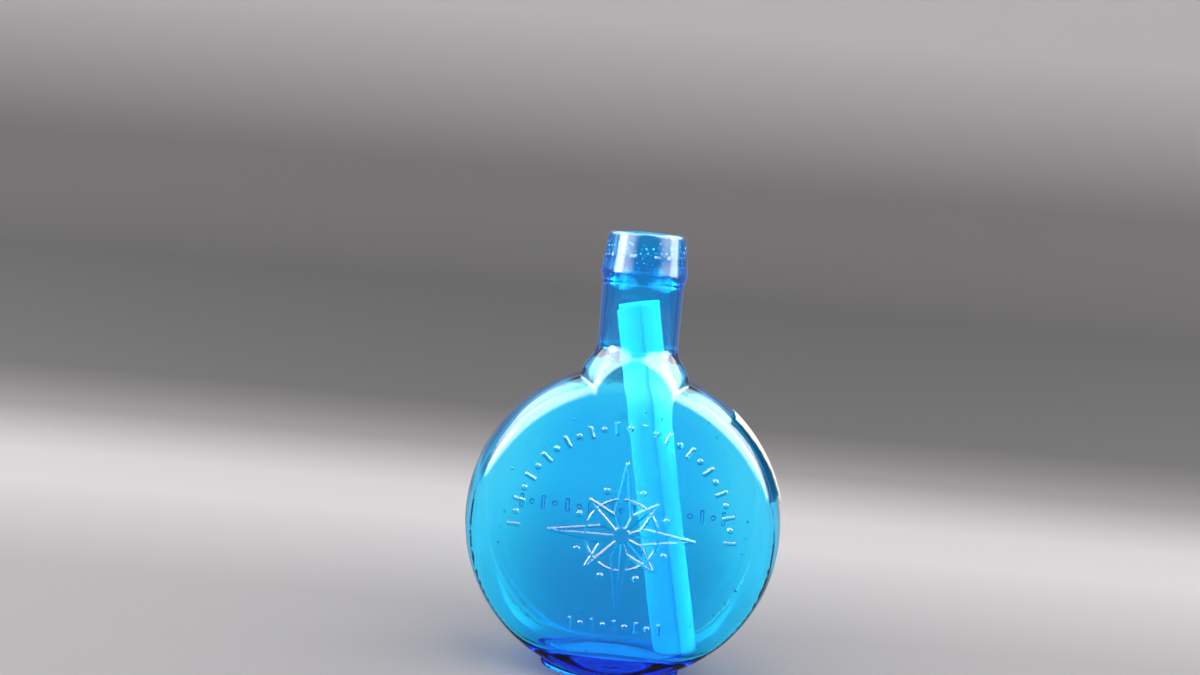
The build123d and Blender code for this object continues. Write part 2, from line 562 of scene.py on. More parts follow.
    def grain(self, points: Array) -> Array:
        """Longest edge that the mesh may have at each point: short at marks, seam, crease and lip.

        Args:
            points: places on the surface, one row each.

        Returns:
            Lengths.
        """
        size, grains = self.sizes, self.grains
        high, deep = points[:, 2], np.abs(points[:, 1])
        skin = self.outside(points) > -size.wall / 4
        both = np.maximum(np.abs(self.disc(points)), np.abs(self.ball(points))) < 1
        over_bead = high - size.collar_bottom - size.bead_height / 2
        rules = (
            (high > size.collar_bottom - size.bead_height, grains.collar),
            (skin & (np.abs(high - size.root_height) < self.root_reach), grains.root),
            (skin & (np.abs(over_bead) < size.bead_height), grains.bead),
            (high > size.lip_height - size.lip_round, grains.lip),
            (high < size.foot_round * 2, grains.foot),
            (skin & both & (deep < size.half_depth - self.face_wave), grains.crease),
            (skin & (deep < 2 * self.seam_width) & (high > size.foot_top), grains.seam),
        )
        length = np.full(len(points), grains.plain)
        for where, edge in rules:
            length[where] = edge
        for face in Face:
            here = skin & (points[:, 1] * face.value > size.half_depth - 1)
            edge = np.abs(self.relief.outline(face, points[here], size.disc_height))
            length[here] = np.where(edge < self.relief.slope, grains.relief, length[here])
        return length


@dataclass
class SkinMesh:
    """A closed triangle mesh on the zero surface of a field."""

    field: FlaskField
    cell: float = 1.3
    margin: float = 2.0
    levels: int = 4
    first_rounds: int = 5
    pull: float = 0.5
    least_slope: float = 0.25

    def sample(self, low: Array, high: Array) -> tuple[Array, Array]:
        """Finds a first coarse mesh: one vertex in each grid cell that the surface crosses.

        Args:
            low: lowest corner of the grid.
            high: its highest corner.

        Returns:
            Vertices and four-sided faces.
        """
        counts = np.ceil((high - low) / self.cell).astype(int) + 1
        axes = [low[axis] + self.cell * np.arange(counts[axis]) for axis in range(3)]
        grid = np.stack(np.meshgrid(*axes, indexing="ij"), -1).reshape(-1, 3)
        # A thin wall would share grid cells with both its sides, so the first mesh has it at full thickness
        even = replace(self.field, rim_thinning=0.0)
        values = even(grid).reshape(counts)
        cells = int(np.prod(counts - 1))
        total, hits, quads = np.zeros((cells, 3)), np.zeros(cells), []
        for axis in range(3):
            near = np.delete(values, -1, axis)
            far = np.delete(values, 0, axis)
            crossed = (near < 0) != (far < 0)
            start = np.argwhere(crossed)
            place = low + self.cell * start
            place[:, axis] += self.cell * near[crossed] / (near[crossed] - far[crossed])
            second, third = (axis + 1) % 3, (axis + 2) % 3
            ring = []
            for back_second, back_third in ((0, 0), (1, 0), (1, 1), (0, 1)):
                corner = start.copy()
                corner[:, second] -= back_second
                corner[:, third] -= back_third
                ring.append(np.ravel_multi_index(corner.T, counts - 1))
                np.add.at(total, ring[-1], place)
                np.add.at(hits, ring[-1], 1)
            quad = np.stack(ring, 1)
            outward = near[crossed] < 0
            quads += [quad[outward], quad[~outward][:, ::-1]]
        used = hits > 0
        number = np.cumsum(used) - 1
        return total[used] / hits[used][:, None], number[np.concatenate(quads)]

    def halve(self, vertices: Array, quads: Array) -> Array:
        """Cuts four-sided faces along their shorter diagonals.

        Args:
            vertices: places.
            quads: four vertex numbers a row.

        Returns:
            Triangles.
        """
        first = np.linalg.norm(vertices[quads[:, 0]] - vertices[quads[:, 2]], axis=1)
        second = np.linalg.norm(vertices[quads[:, 1]] - vertices[quads[:, 3]], axis=1)
        turned = np.where((first > second)[:, None], np.roll(quads, -1, 1), quads)
        return np.concatenate([turned[:, [0, 1, 2]], turned[:, [0, 2, 3]]])

    def refine(self, vertices: Array, triangles: Array) -> tuple[Array, Array]:
        """Splits every edge that is longer than the field's grain at its middle.

        Args:
            vertices: places.
            triangles: three vertex numbers a row.

        Returns:
            Vertices and triangles.
        """
        ends = np.concatenate([triangles[:, [0, 1]], triangles[:, [1, 2]], triangles[:, [2, 0]]])
        ends.sort(axis=1)
        keys, back = np.unique(ends[:, 0] * len(vertices) + ends[:, 1], return_inverse=True)
        start, end = vertices[keys // len(vertices)], vertices[keys % len(vertices)]
        middles = (start + end) / 2
        long = np.linalg.norm(end - start, axis=1) > self.field.grain(middles)
        number = np.full(len(keys), -1)
        number[long] = len(vertices) + np.arange(long.sum())
        cut = number[back].reshape(3, -1).T
        parts = [triangles[(cut < 0).all(1)]]
        for turn in range(3):
            corner, split = np.roll(triangles, -turn, 1), np.roll(cut, -turn, 1)
            marked = split >= 0
            one = marked[:, 0] & ~marked[:, 1] & ~marked[:, 2]
            a, b, c = corner[one].T
            middle = split[one][:, 0]
            parts += [np.stack([a, middle, c], 1), np.stack([middle, b, c], 1)]
            two = marked[:, 0] & marked[:, 1] & ~marked[:, 2]
            a, b, c = corner[two].T
            first, second = split[two][:, 0], split[two][:, 1]
            parts += [np.stack(row, 1) for row in ((first, b, second), (a, first, second), (a, second, c))]
        whole = (cut >= 0).all(1)
        a, b, c = triangles[whole].T
        first, second, third = cut[whole].T
        parts += [np.stack(row, 1) for row in ((a, first, third), (first, b, second), (third, second, c))]
        parts.append(cut[whole])
        return np.concatenate([vertices, middles[long]]), np.concatenate(parts)

    def relax(self, vertices: Array, triangles: Array) -> Array:
        """Evens out the triangles by moving each vertex along the surface towards its neighbours.

        Args:
            vertices: places.
            triangles: three vertex numbers a row.

        Returns:
            New places.
        """
        start = triangles.ravel()
        end = np.roll(triangles, -1, 1).ravel()
        count = np.bincount(start, minlength=len(vertices))
        mean = [np.bincount(start, vertices[end, axis], len(vertices)) / count for axis in range(3)]
        move = self.pull * (np.stack(mean, 1) - vertices)
        normal = self.field.slope(vertices)
        normal /= np.linalg.norm(normal, axis=1)[:, None]
        return vertices + move - (move * normal).sum(1)[:, None] * normal

    def settle(self, vertices: Array, rounds: int = 2) -> Array:
        """Moves vertices onto the surface.

        Args:
            vertices: places near it.
            rounds: how often the step is repeated.

        Returns:
            New places.
        """
        for _ in range(rounds):
            slope = self.field.slope(vertices)
            step = self.field(vertices) / np.maximum((slope * slope).sum(1), self.least_slope)
            vertices = vertices - np.clip(step, -self.cell / 2, self.cell / 2)[:, None] * slope
        return vertices

    def build(self) -> tuple[Array, Array, Array]:
        """Makes the mesh: coarse, then finer level by level.

        Returns:
            Vertices, triangles and a normal for each vertex.
        """
        size = self.field.sizes
        edge = np.array([size.disc_radius, size.half_depth + self.field.relief.height, 0]) + self.margin
        top = np.array([edge[0], edge[1], size.lip_height + self.margin])
        vertices, quads = self.sample(-edge, top)
        triangles = self.halve(vertices, quads)
        vertices = self.settle(self.relax(self.settle(vertices, self.first_rounds), triangles))
        for _ in range(self.levels):
            vertices, triangles = self.refine(vertices, triangles)
            vertices = self.settle(vertices, 1)
            vertices = self.settle(self.relax(vertices, triangles), 1)
        vertices = self.settle(vertices)
        normals = self.field.slope(vertices)
        return vertices, triangles, normals / np.linalg.norm(normals, axis=1)[:, None]


@dataclass(frozen=True)
class Nodes:
    """A material's node tree, with short calls that add to it."""

    tree: bpy.types.NodeTree

    @classmethod
    def fresh(cls, name: str) -> tuple[bpy.types.Material, "Nodes"]:
        """Makes an empty material with nodes.

        Args:
            name: the material's name.

        Returns:
            The material and its node tree.
        """
        material = bpy.data.materials.new(name)
        material.use_nodes = True
        material.node_tree.nodes.clear()
        return material, cls(material.node_tree)

    def add(self, kind: str, settings: dict | None = None, **inputs: object) -> bpy.types.Node:
        """Adds a node.

        Args:
            kind: the node's type.
            settings: its own attributes.
            **inputs: values or output sockets for its inputs, spaces in their names as underscores.

        Returns:
            The node.
        """
        node = self.tree.nodes.new(kind)
        for key, value in (settings or {}).items():
            setattr(node, key, value)
        for key, value in inputs.items():
            self.put(node.inputs[key.replace("_", " ")], value)
        return node

    def fill(self, kind: str, settings: dict, *values: object) -> bpy.types.Node:
        """Adds a node and fills its inputs in their order.

        Args:
            kind: the node's type.
            settings: its own attributes.
            *values: values or output sockets.

        Returns:
            The node.
        """
        node = self.add(kind, settings)
        for socket, value in zip(node.inputs, values):
            self.put(socket, value)
        return node

    def put(self, socket: Socket, value: object) -> None:
        """Links an output to an input, or sets the input to a plain value.

        Args:
            socket: the input.
            value: an output or a value.
        """
        if isinstance(value, Socket):
            self.tree.links.new(value, socket)
        else:
            socket.default_value = value

    def noise(self, size: float, detail: float = 2.0, rough: float = 0.5) -> Socket:
        """Adds a noise in the object's own space.

        Args:
            size: rough size of its patches in millimetres.
            detail: how many finer noises it holds.
            rough: their share in it.

        Returns:
            The noise's value.
        """
        place = self.add("ShaderNodeTexCoord").outputs["Object"]
        inputs = {"Scale": 1 / (size * MM), "Detail": detail, "Roughness": rough}
        return self.add("ShaderNodeTexNoise", Vector=place, **inputs).outputs["Fac"]

    def ranged(self, value: Socket, low: float, high: float) -> Socket:
        """Spreads the usual values of a noise over a range."""
        linear = {"interpolation_type": "LINEAR"}
        return self.fill("ShaderNodeMapRange", linear, value, *NOISE_SPAN, low, high).outputs["Result"]

    def feather(self, value: Socket, start: float, end: float, most: float, least: float = 0.0) -> Socket:
        """Rises softly from the least at one value to the most at another."""
        soft = {"interpolation_type": "SMOOTHSTEP"}
        return self.fill("ShaderNodeMapRange", soft, value, start, end, least, most).outputs["Result"]

    def reach(self, place: Socket, shape: Triple) -> Socket:
        """Distance of a place from the origin, with each axis stretched by the shape."""
        stretched = self.vector("MULTIPLY", place, shape).outputs["Vector"]
        return self.vector("LENGTH", stretched).outputs["Value"]

    def vector(self, operation: str, *values: object) -> bpy.types.Node:
        """Adds a node that works on vectors."""
        return self.fill("ShaderNodeVectorMath", {"operation": operation}, *values)

    def sum(self, operation: str, first: Socket | float, second: Socket | float) -> Socket:
        """Works out one sum of two numbers or outputs."""
        return self.fill("ShaderNodeMath", {"operation": operation}, first, second).outputs["Value"]

    def ramp(self, value: Socket, stops: list[tuple[float, tuple]]) -> Socket:
        """Turns a factor into a colour.

        Args:
            value: the factor.
            stops: places from 0 to 1 with their colours.

        Returns:
            The colour.
        """
        node = self.add("ShaderNodeValToRGB", Fac=value)
        row = node.color_ramp.elements
        for index, (place, colour) in enumerate(stops):
            element = row[index] if index < len(row) else row.new(place)
            element.position = place
            element.color = (*colour, 1)
        return node.outputs["Color"]

    def bump(self, height: Socket, depth: float, under: Socket | None = None) -> Socket:
        """Adds a bump.

        Args:
            height: where the surface stands out.
            depth: how far, in millimetres.
            under: a coarser bump that this one lies on.

        Returns:
            The bumped normal.
        """
        inputs = {"Height": height, "Distance": depth * MM, "Strength": 1.0}
        if under is not None:
            inputs["Normal"] = under
        return self.add("ShaderNodeBump", **inputs).outputs["Normal"]


@dataclass(frozen=True)
class BlueGlass:
    """Clear turquoise glass that turns deep blue where it is thick, with a faintly uneven fire polish."""

    body: Triple = (1.0, 1.0, 1.0)
    clarity: float = 1.0
    tint: Triple = (0.0, 0.865, 0.993)
    density_per_metre: float = 800.0
    bend: float = 1.53
    roughness_low: float = 0.012
    roughness_high: float = 0.045
    patch: float = 9.0
    ripple: float = 6.0
    ripple_depth: float = 0.018
    grain: float = 0.9
    grain_depth: float = 0.004

    def material(self) -> bpy.types.Material:
        """Makes the glass.

        Returns:
            The material.
        """
        material, nodes = Nodes.fresh("blue_glass")
        coarse = nodes.bump(nodes.noise(self.ripple, 1.0), self.ripple_depth)
        fine = nodes.bump(nodes.noise(self.grain), self.grain_depth, under=coarse)
        shader = nodes.add(
            "ShaderNodeBsdfPrincipled",
            Base_Color=(*self.body, 1),
            Transmission_Weight=self.clarity,
            IOR=self.bend,
            Roughness=nodes.ranged(nodes.noise(self.patch), self.roughness_low, self.roughness_high),
            Normal=fine,
        )
        soak = nodes.add("ShaderNodeVolumeAbsorption", Color=(*self.tint, 1), Density=self.density_per_metre)
        nodes.add("ShaderNodeOutputMaterial", Surface=shader.outputs["BSDF"], Volume=soak.outputs["Volume"])
        return material


@dataclass(frozen=True)
class PaperStock:
    """Matt paper with fibres, cloudy tone and a little cockle."""

    name: str
    pale: Triple
    dark: Triple
    cloud: float = 7.0
    fibre: float = 0.35
    fibre_depth: float = 0.03
    cockle: float = 11.0
    cockle_depth: float = 0.25
    roughness_low: float = 0.78
    roughness_high: float = 0.92
    sheen: float = 0.3
    dark_until: float = 0.35
    pale_from: float = 0.6

    def material(self) -> bpy.types.Material:
        """Makes the paper.

        Returns:
            The material.
        """
        material, nodes = Nodes.fresh(self.name)
        cloud = nodes.noise(self.cloud, 6.0, 0.65)
        cockle = nodes.bump(nodes.noise(self.cockle, 3.0), self.cockle_depth)
        fibre = nodes.bump(nodes.noise(self.fibre, 4.0, 0.7), self.fibre_depth, under=cockle)
        shader = nodes.add(
            "ShaderNodeBsdfPrincipled",
            Base_Color=nodes.ramp(cloud, [(self.dark_until, self.dark), (self.pale_from, self.pale)]),
            Roughness=nodes.ranged(nodes.noise(self.fibre), self.roughness_low, self.roughness_high),
            Specular_IOR_Level=self.sheen,
            Normal=fibre,
        )
        nodes.add("ShaderNodeOutputMaterial", Surface=shader.outputs["BSDF"])
        return material


def thick_sheet(columns: int, rows: int) -> Array:
    """Faces of a sheet with two sides, whose second side's points follow all those of the first.

    Args:
        columns: points along the sheet's first way.
        rows: points along its second way.

    Returns:
        Four vertex numbers a face: the first side, the second one and the edge between them.
    """
    count = columns * rows
    number = np.arange(count).reshape(columns, rows)
    corner = [number[:-1, :-1], number[1:, :-1], number[1:, 1:], number[:-1, 1:]]
    sheet = np.stack([part.ravel() for part in corner], 1)
    border = np.concatenate([number[:, 0], number[-1, 1:], number[-2::-1, -1], number[0, -2:0:-1]])
    ahead = np.roll(border, -1)
    edge = np.stack([ahead, border, border + count, ahead + count], 1)
    return np.concatenate([sheet, sheet[:, ::-1] + count, edge])


def make_piece(
    name: str, vertices: Array, faces: Array, materials: list[bpy.types.Material]
) -> bpy.types.Object:
    """Makes a smooth-shaded object from points in millimetres.

    Args:
        name: the piece's name.
        vertices: places in millimetres.
        faces: vertex numbers, one face a row.
        materials: what its slots hold.

    Returns:
        The object, linked to the scene.
    """
    mesh = bpy.data.meshes.new(name)
    mesh.from_pydata((vertices * MM).tolist(), [], faces.tolist())
    for material in materials:
        mesh.materials.append(material)
    mesh.polygons.foreach_set("use_smooth", np.ones(len(mesh.polygons), bool))
    mesh.update()
    piece = bpy.data.objects.new(name, mesh)
    bpy.context.scene.collection.objects.link(piece)
    return piece


@dataclass
class GlassFlask:
    """The flask itself, in one piece of glass."""

    sizes: FlaskSizes
    relief: Relief
    finish: BlueGlass
    bubble_count: int = 200
    bubble_least: float = 0.18
    bubble_most: float = 0.45
    bubble_stretch: float = 0.5
    splits: int = 2
    collar_share: float = 0.7
    collar_spread: float = 0.4
    under_lip: float = 4.0
    face_from: float = 0.82
    face_run: float = 0.12
    stride: float = 3.1

    def bubbles(self) -> tuple[Array, Array]:
        """Small round bubbles in the walls of collar and faces, each an inward-facing shell.

        Returns:
            Vertices and triangles.
        """
        size = self.sizes
        ball = np.array([[0, 0, 1], [1, 0, 0], [0, 1, 0], [-1, 0, 0], [0, -1, 0], [0, 0, -1]], float)
        upper = [[0, 1, 2], [0, 2, 3], [0, 3, 4], [0, 4, 1]]
        lower = [[5, 2, 1], [5, 3, 2], [5, 4, 3], [5, 1, 4]]
        shell = np.array(upper + lower)
        for _ in range(self.splits):
            ball, shell = self.split_shell(ball, shell)
        points, triangles = [], []
        golden = (math.sqrt(5) - 1) / 2
        for index in range(self.bubble_count):
            first, second = (index * golden) % 1, (index * golden * golden * self.stride) % 1
            radius = self.bubble_least + (self.bubble_most - self.bubble_least) * second**3
            across, up = math.cos(2 * math.pi * first), math.sin(2 * math.pi * first)
            if index + 0.5 < self.collar_share * self.bubble_count:
                middle = (size.neck_radius + size.bore_radius) / 2 + self.collar_spread * (second - 0.5)
                high = size.collar_bottom + (size.collar_height - self.under_lip) * second
                centre = np.array([middle * across, middle * up, high])
            else:
                reach = size.face_radius * (self.face_from + self.face_run * second)
                deep = (size.half_depth - size.wall / 2) * (1 if index % 3 == 0 else -1)
                centre = np.array([reach * across, deep, size.disc_height + reach * up])
            triangles.append(shell[:, ::-1] + len(ball) * index)
            points.append(centre + radius * ball * [1, 1, 1 + self.bubble_stretch * first])
        return np.concatenate(points), np.concatenate(triangles)

    def split_shell(self, ball: Array, shell: Array) -> tuple[Array, Array]:
        """Splits each triangle of a round shell into four.

        Args:
            ball: points at distance 1 from the middle.
            shell: triangles.

        Returns:
            Points and triangles of the finer shell.
        """
        points, faces, known = list(ball), [], {}

        def middle(first: int, second: int) -> int:
            """Finds or adds the point half way between two others.

            Args:
                first: one point's number.
                second: the other's.

            Returns:
                The number of the point between them.
            """
            key = (min(first, second), max(first, second))
            if key not in known:
                half = points[first] + points[second]
                known[key] = len(points)
                points.append(half / np.linalg.norm(half))
            return known[key]

        for a, b, c in shell.tolist():
            ab, bc, ca = middle(a, b), middle(b, c), middle(c, a)
            faces += [(a, ab, ca), (ab, b, bc), (ca, bc, c), (ab, bc, ca)]
        return np.array(points), np.array(faces)

    def build(self) -> bpy.types.Object:
        """Builds the glass and puts it in the frame.

        Returns:
            The flask's object.
        """
        vertices, triangles, normals = SkinMesh(FlaskField(self.sizes, self.relief)).build()
        bubbles, shells = self.bubbles()
        every = np.concatenate([vertices, bubbles])
        faces = np.concatenate([triangles, shells + len(vertices)])
        piece = make_piece("flask_glass", every, faces, [self.finish.material()])
        set_normals = piece.data.normals_split_custom_set_from_vertices
        set_normals(np.concatenate([normals, np.zeros_like(bubbles)]).tolist())
        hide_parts("glass_bottle")
        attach(piece, "flask")
        log.info("%s: %d triangles", piece.name, len(faces))
        return piece


@dataclass
class PaperRoll:
    """A sheet of paper rolled up and leaning in the flask."""

    stock: PaperStock
    radius: float = 7.1
    reach: float = 104.46
    head: float = 7.0
    lean: float = 10.9
    pivot_height: float = 111.483
    seam_angle: float = -78.5
    half_turns: float = 5.0
    pitch: float = 0.7
    thickness: float = 0.16
    degrees_per_column: float = 5.0
    rows: int = 90
    drift: float = 1.6
    drift_turn: float = 60.0
    top_slant: float = 2.2
    slant_turn: float = 250.0
    slant_run: float = 60.0
    slant_share: float = 0.1
    dent: float = 0.12
    dent_length: float = 31.0
    dent_spread: float = 20.0

    def surface(self, turn: Array, share: Array, inset: float) -> Array:
        """Points of the sheet.

        Args:
            turn: degrees wound from the free outer edge.
            share: 0 at the foot of the sheet and 1 at its head.
            inset: depth below the sheet's outer side.

        Returns:
            Points in the roll's own frame, its axis along Z.
        """
        drift = self.drift * (0.5 - share) * np.exp(-turn / self.drift_turn)
        angle = np.radians(self.seam_angle + turn) + drift / self.radius
        round_it = np.stack([np.cos(angle), np.sin(angle)], -1)
        high = -self.reach + share * (self.reach + self.head)
        spread = np.concatenate([self.dent_spread * round_it, high[..., None]], -1).reshape(-1, 3)
        dent = self.dent * (1 + wave(spread, self.dent_length, 0.8).reshape(turn.shape)) / 2
        radius = self.radius - self.pitch * turn / 360 - inset - dent
        slanted = np.exp(-(((turn - self.slant_turn) / self.slant_run) ** 2))
        at_head = np.clip(1 - (1 - share) / self.slant_share, 0, 1)
        high = high - self.top_slant * slanted * at_head
        return np.concatenate([radius[..., None] * round_it, high[..., None]], -1)

    def build(self) -> bpy.types.Object:
        """Builds the roll and puts it in the frame.

        Returns:
            The roll's object.
        """
        columns = int(180 * self.half_turns / self.degrees_per_column) + 1
        turn, share = np.meshgrid(
            np.linspace(0, 180 * self.half_turns, columns), np.linspace(0, 1, self.rows + 1), indexing="ij"
        )
        layers = [self.surface(turn, share, inset).reshape(-1, 3) for inset in (0.0, self.thickness)]
        points, faces = np.concatenate(layers), thick_sheet(*turn.shape)
        tilt = np.array(Matrix.Rotation(math.radians(-self.lean), 3, "Y"))
        points = points @ tilt.T + np.array([0, 0, self.pivot_height])
        piece = make_piece("paper_sheet_roll", points, faces, [self.stock.material()])
        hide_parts("paper_roll")
        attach(piece, "roll")
        log.info("%s: %d faces", piece.name, len(faces))
        return piece


@dataclass
class RimLabel:
    """A paper label bent round the rim, stuck at its back edge and lifting at its front."""

    sizes: FlaskSizes
    outer: PaperStock
    under: PaperStock
    width: float = 19.0
    thickness: float = 0.2
    back_gap: float = 0.15
    middle_gap: float = 0.4
    front_lift: float = 1.3
    low_angle: float = 15.0
    sweep: float = 35.5
    columns: int = 48
    rows: int = 28
    ragged: float = 0.35
    ragged_waves: tuple[int, int] = (23, 57)
    curl: float = 1.5
    ruffle: float = 0.12
    ruffle_waves: int = 5
    end_wave: float = 0.4
    end_waves: int = 9

    def build(self) -> bpy.types.Object:
        """Builds the label and puts it in the frame.

        Returns:
            The label's object.
        """
        size = self.sizes
        along, across = np.meshgrid(
            np.linspace(0, 1, self.columns + 1), np.linspace(-1, 1, self.rows + 1), indexing="ij"
        )
        long, short = (np.sin(waves * along + turn) for turn, waves in enumerate(self.ragged_waves))
        deep = across * self.width / 2 * (1 - self.ragged / self.width * (1 + long + short) / 1.5)
        rim = size.disc_radius - size.crown_radius + np.sqrt(size.crown_radius**2 - deep**2)
        back, front = np.clip(across, 0, 1), np.clip(-across, 0, 1)
        gap = self.middle_gap + (self.back_gap - self.middle_gap) * back
        gap = gap + (self.front_lift - self.middle_gap) * front**self.curl
        gap = gap + self.ruffle * front * np.sin(self.ruffle_waves * along + 0.5)
        ends = self.end_wave / self.sweep * np.sin(self.end_waves * across)
        angle = np.radians(self.low_angle + self.sweep * (along + ends * (2 * along - 1)))
        layers = []
        for reach in (rim + gap + self.thickness, rim + gap):
            place = [reach * np.cos(angle), deep, size.disc_height + reach * np.sin(angle)]
            layers.append(np.stack(place, -1).reshape(-1, 3))
        faces = thick_sheet(*along.shape)[:, ::-1]
        materials = [self.outer.material(), self.under.material()]
        piece = make_piece("label_strip", np.concatenate(layers), faces, materials)
        one_side = self.columns * self.rows
        side = np.full(len(faces), Side.OUTER.value, np.int32)
        side[one_side : 2 * one_side] = Side.UNDER.value
        piece.data.polygons.foreach_set("material_index", side)
        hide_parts("rim_label")
        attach(piece, "flask")
        log.info("%s: %d faces", piece.name, len(faces))
        return piece


@dataclass
class PhotoCamera:
    """The camera, where the photograph was taken from."""

    place: Triple = (-4.7, -287.2, 132.2)
    turn_left: float = 1.45
    look_down: float = 5.14
    roll: float = 4.92
    lens: float = 27.63
    sensor: float = 36.0
    nearest: float = 10.0

    def build(self) -> bpy.types.Object:
        """Makes the camera and hands it to the scene.

        Returns:
            The camera's object.
        """
        turn, down, roll = (math.radians(angle) for angle in (-self.turn_left, self.look_down, self.roll))
        flat = math.cos(down)
        ahead = Vector((math.sin(turn) * flat, math.cos(turn) * flat, -math.sin(down)))
        level = Vector((math.cos(turn), -math.sin(turn), 0))
        upright = level.cross(ahead)
        right = math.cos(roll) * level + math.sin(roll) * upright
        up = math.cos(roll) * upright - math.sin(roll) * level
        data = bpy.data.cameras.new("camera")
        data.lens = self.lens
        data.sensor_width = self.sensor
        data.clip_start = self.nearest * MM
        camera = bpy.data.objects.new("camera", data)
        turned = Matrix((right, up, -ahead)).transposed().to_4x4()
        camera.matrix_world = Matrix.Translation(Vector(self.place) * MM) @ turned
        bpy.context.scene.collection.objects.link(camera)
        bpy.context.scene.camera = camera
        return camera


@dataclass
class SoftBox:
    """A rectangular studio lamp that looks at the flask."""

    name: str
    place: Triple
    size: tuple[float, float]
    radiance: float

    def build(self, target: Vector) -> bpy.types.Object:
        """Makes the lamp.

        Args:
            target: the point that it looks at, in metres.

        Returns:
            The lamp's object.
        """
        data = bpy.data.lights.new(self.name, "AREA")
        data.shape = "RECTANGLE"
        data.size, data.size_y = (side * MM for side in self.size)
        data.energy = self.radiance * math.pi * data.size * data.size_y
        lamp = bpy.data.objects.new(self.name, data)
        lamp.location = Vector(self.place) * MM
        lamp.rotation_euler = (target - lamp.location).to_track_quat("-Z", "Y").to_euler()
        lamp.visible_camera = False
        bpy.context.scene.collection.objects.link(lamp)
        return lamp


@dataclass(frozen=True)
class SkyPatch:
    """A round patch of soft light far away, brightest in its middle and feathered out to its edge."""

    way: Triple
    inner_degrees: float
    outer_degrees: float
    radiance: float

    def light(self, nodes: Nodes, way: Socket) -> Socket:
        """Adds the patch to the sky's nodes.

        Args:
            nodes: the sky's node tree.
            way: the direction looked in.

        Returns:
            The patch's light in that direction.
        """
        axis = Vector(self.way).normalized()
        near = nodes.vector("DOT_PRODUCT", way, axis).outputs["Value"]
        edge, middle = (math.cos(math.radians(side)) for side in (self.outer_degrees, self.inner_degrees))
        return nodes.feather(near, edge, middle, self.radiance)


@dataclass(frozen=True)
class SweepPaper:
    """Studio paper with light and shade painted along the sweep: pale on the floor with a painted brighter
    band behind the flask, painted shade down to a deep grey where it has curved up behind the flask, and
    lighter again near the top.
    """

    distances: tuple[float, ...] = (40.0, 145.0, 200.0, 310.0, 420.0, 620.0, 760.0, 900.0)
    # Painted light and shade: each grey stands for how light falls at that distance along the sweep
    painted_light_greys: tuple[float, ...] = (0.3, 0.46, 0.44, 0.17, 0.07, 0.075, 0.16, 0.5)
    warmth: Triple = (1.03, 0.985, 1.0)
    travel: float = 1000.0
    fade_from: float = -10.0
    fade_to: float = 60.0
    floor_in_glass: Triple = (1.0, 1.0, 1.0)
    wall_in_glass: Triple = (0.3, 0.33, 0.46)
    shade: float = 0.66
    shade_shape: Triple = (3.5, 1.0, 0.0)
    shade_from: float = 60.0
    shade_to: float = 260.0
    # Painted light: a bright oval on the floor under the foot, seen through the glass
    painted_caustic: float = 1.2
    painted_caustic_shape: Triple = (0.5, 1.0, 0.0)
    painted_caustic_from: float = 6.0
    painted_caustic_to: float = 13.0
    glow: float = 2.0
    glow_from: float = 220.0
    glow_to: float = 430.0
    gloss_dim: float = 0.7
    roughness: float = 0.9

    def material(self) -> bpy.types.Material:
        """Makes the studio paper, with a look of its own through glass and in reflections: through glass it
        glows, paler on the floor and a dimmer bluish grey up the wall, with painted shade near the flask, a
        painted pool of light under the foot and a painted glow high on the wall.

        Returns:
            The material.
        """
        material, nodes = Nodes.fresh("sweep_paper")
        place = nodes.add("ShaderNodeTexCoord").outputs["Object"]
        split = nodes.add("ShaderNodeSeparateXYZ", Vector=place)
        height = split.outputs["Z"]
        share = nodes.feather(height, self.fade_from * MM, self.fade_to * MM, 1.0)
        back = nodes.sum("MULTIPLY", nodes.sum("ADD", split.outputs["Y"], height), 1 / (self.travel * MM))
        # The ramp paints light and shade along the sweep, not the paper's own colour
        tones = [tuple(grey * part for part in self.warmth) for grey in self.painted_light_greys]
        stops = [(far / self.travel, tone) for far, tone in zip(self.distances, tones)]
        path = nodes.add("ShaderNodeLightPath")
        glossy = path.outputs["Is Glossy Ray"]
        kept = nodes.sum("SUBTRACT", 1.0, nodes.sum("MULTIPLY", glossy, self.gloss_dim))
        dimmed = nodes.vector("SCALE", nodes.ramp(back, stops))
        nodes.put(dimmed.inputs["Scale"], kept)
        colour = dimmed.outputs["Vector"]
        plain = nodes.add("ShaderNodeBsdfPrincipled", Base_Color=colour, Roughness=self.roughness)
        seen = nodes.ramp(share, [(0.0, self.floor_in_glass), (1.0, self.wall_in_glass)])
        away = nodes.reach(place, self.shade_shape)
        open_share = nodes.feather(away, self.shade_from * MM, self.shade_to * MM, 1.0, self.shade)
        # Painted pool of light under the foot, shown only through the glass
        under = nodes.reach(place, self.painted_caustic_shape)
        painted_caustic = nodes.feather(under, self.painted_caustic_to * MM, self.painted_caustic_from * MM, self.painted_caustic)
        open_share = nodes.sum("MAXIMUM", open_share, painted_caustic)
        glow = nodes.feather(height, self.glow_from * MM, self.glow_to * MM, 1 + self.glow, 1.0)
        bright = nodes.add("ShaderNodeEmission", Color=seen, Strength=nodes.sum("MULTIPLY", open_share, glow))
        mirrored = nodes.sum("MULTIPLY", glossy, share)
        shown = nodes.sum("MAXIMUM", path.outputs["Is Transmission Ray"], mirrored)
        mix = nodes.fill("ShaderNodeMixShader", {}, shown, plain.outputs["BSDF"], bright.outputs["Emission"])
        nodes.add("ShaderNodeOutputMaterial", Surface=mix.outputs["Shader"])
        return material


